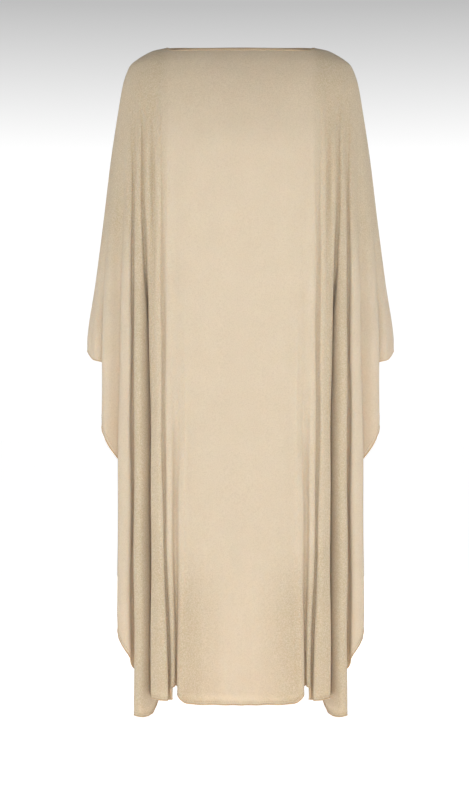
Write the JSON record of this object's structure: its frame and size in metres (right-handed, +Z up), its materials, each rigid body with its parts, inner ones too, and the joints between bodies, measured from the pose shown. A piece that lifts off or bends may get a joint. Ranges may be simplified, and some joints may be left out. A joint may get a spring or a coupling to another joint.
{
  "type": "kaftan",
  "caption": "Loose ankle-length kaftan with a boat neck and wide wing sleeves, worn and hollow, its sides hanging in cascading folds.",
  "frame": {"origin": "middle of the neck at the height of the shoulder seams, where the garment hangs from the wearer's shoulders", "axes": "+Z up along the garment, front faces -Y, +X towards the wearer's left arm"},
  "size_m": [0.613, 0.2819, 1.3301],
  "materials": {
    "jersey": "matte melange knit jersey with a soft nap, sand beige",
    "binding": "the same jersey, turned and stitched as a narrow neck binding, slightly deeper in tone"
  },
  "bodies": {
    "root": {"front_panel": "jersey", "back_panel": "jersey", "neck_binding": "binding"}
  },
  "joints": []
}
